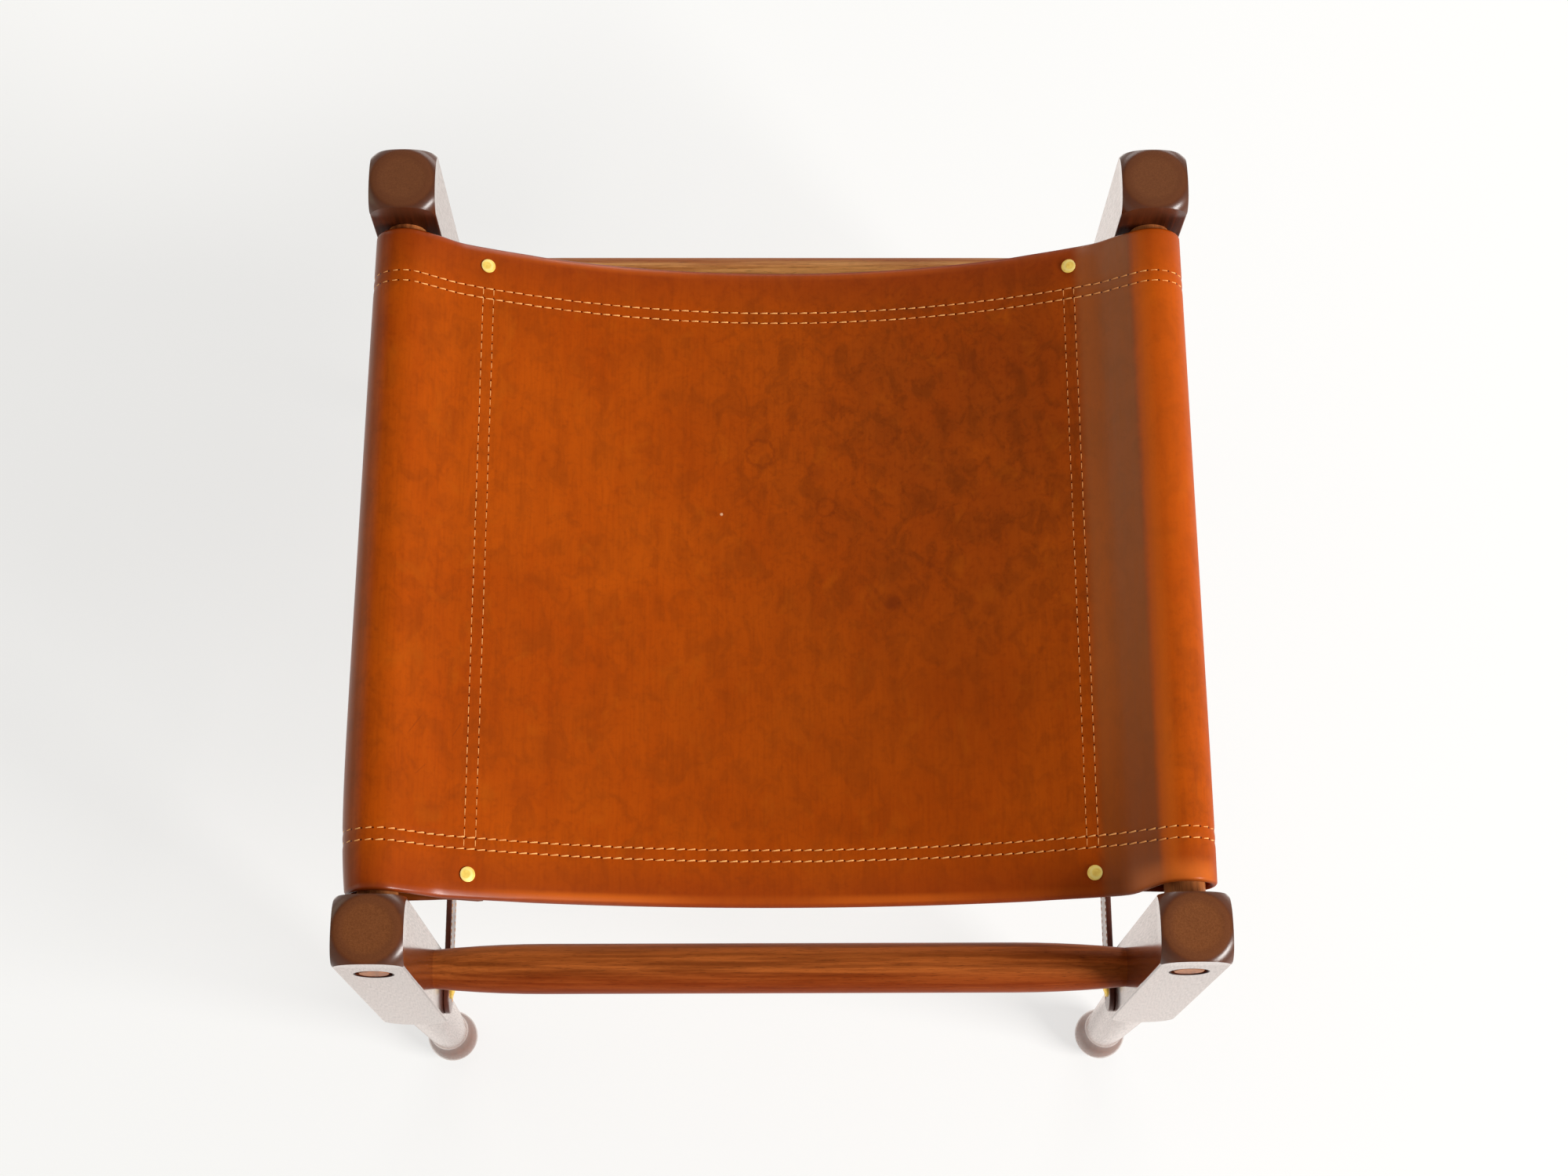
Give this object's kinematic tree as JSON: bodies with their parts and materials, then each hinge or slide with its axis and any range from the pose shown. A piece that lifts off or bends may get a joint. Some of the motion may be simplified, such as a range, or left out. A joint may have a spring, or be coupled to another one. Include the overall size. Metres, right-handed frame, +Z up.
{
  "type": "safari stool",
  "caption": "Low knock-down stool with turned wooden legs, a slung leather seat between side rails and buckled straps.",
  "frame": {"origin": "on the floor under the middle of the seat", "axes": "+X to the right of someone who faces the front, +Y to the back, +Z up"},
  "size_m": [0.52, 0.52, 0.455],
  "materials": {
    "leg_wood": "dark walnut-brown wood under a glossy clear lacquer, lightly scratched",
    "bar_wood": "reddish-brown turned wood with dark grain under a glossy clear lacquer",
    "seat_leather": "cognac saddle leather, creased, with a darker patina, salmon stitching",
    "strap_leather": "dark brown strap leather with pale stitching near the edges",
    "brass": "polished, slightly tarnished"
  },
  "bodies": {
    "root": {"leg_front_left": "leg_wood", "leg_front_right": "leg_wood", "leg_back_left": "leg_wood", "leg_back_right": "leg_wood", "stretcher_front": "bar_wood", "stretcher_back": "bar_wood", "seat_sling": "seat_leather", "seat_rivets": "brass", "seat_rivet_burrs": "brass", "strap_screws": "brass", "strap_washers": "brass", "strap_tongue_left": "strap_leather", "strap_tongue_right": "strap_leather", "strap_heel_left": "strap_leather", "strap_heel_right": "strap_leather"},
    "rail_left": {"side_rail_left": "bar_wood"},
    "buckle_left": {"buckle_frame_left": "brass"},
    "prong_left": {"buckle_prong_left": "brass"},
    "keeper_left": {"strap_keeper_left": "strap_leather"},
    "rail_right": {"side_rail_right": "bar_wood"},
    "buckle_right": {"buckle_frame_right": "brass"},
    "prong_right": {"buckle_prong_right": "brass"},
    "keeper_right": {"strap_keeper_right": "strap_leather"}
  },
  "joints": [
    {"name": "rail_turn_left", "type": "hinge", "parent": "root", "child": "rail_left", "pos_m": [-0.239, 0, 0.419], "axis": [0, 1, 0], "continuous": true},
    {"name": "buckle_lift_left", "type": "hinge", "parent": "root", "child": "buckle_left", "pos_m": [-0.2162, 0, 0.246], "axis": [0, 0, -1], "range_deg": [0, 4]},
    {"name": "prong_lift_left", "type": "hinge", "parent": "buckle_left", "child": "prong_left", "pos_m": [-0.2162, 0, 0.246], "axis": [0, 0, -1], "range_deg": [0, 4]},
    {"name": "keeper_slide_left", "type": "slide", "parent": "root", "child": "keeper_left", "axis": [0, 1, 0], "range_m": [-0.012, 0.032]},
    {"name": "rail_turn_right", "type": "hinge", "parent": "root", "child": "rail_right", "pos_m": [0.239, 0, 0.419], "axis": [0, 1, 0], "continuous": true},
    {"name": "buckle_lift_right", "type": "hinge", "parent": "root", "child": "buckle_right", "pos_m": [0.2162, 0, 0.246], "axis": [0, 0, 1], "range_deg": [0, 4]},
    {"name": "prong_lift_right", "type": "hinge", "parent": "buckle_right", "child": "prong_right", "pos_m": [0.2162, 0, 0.246], "axis": [0, 0, 1], "range_deg": [0, 4]},
    {"name": "keeper_slide_right", "type": "slide", "parent": "root", "child": "keeper_right", "axis": [0, 1, 0], "range_m": [-0.012, 0.032]}
  ]
}
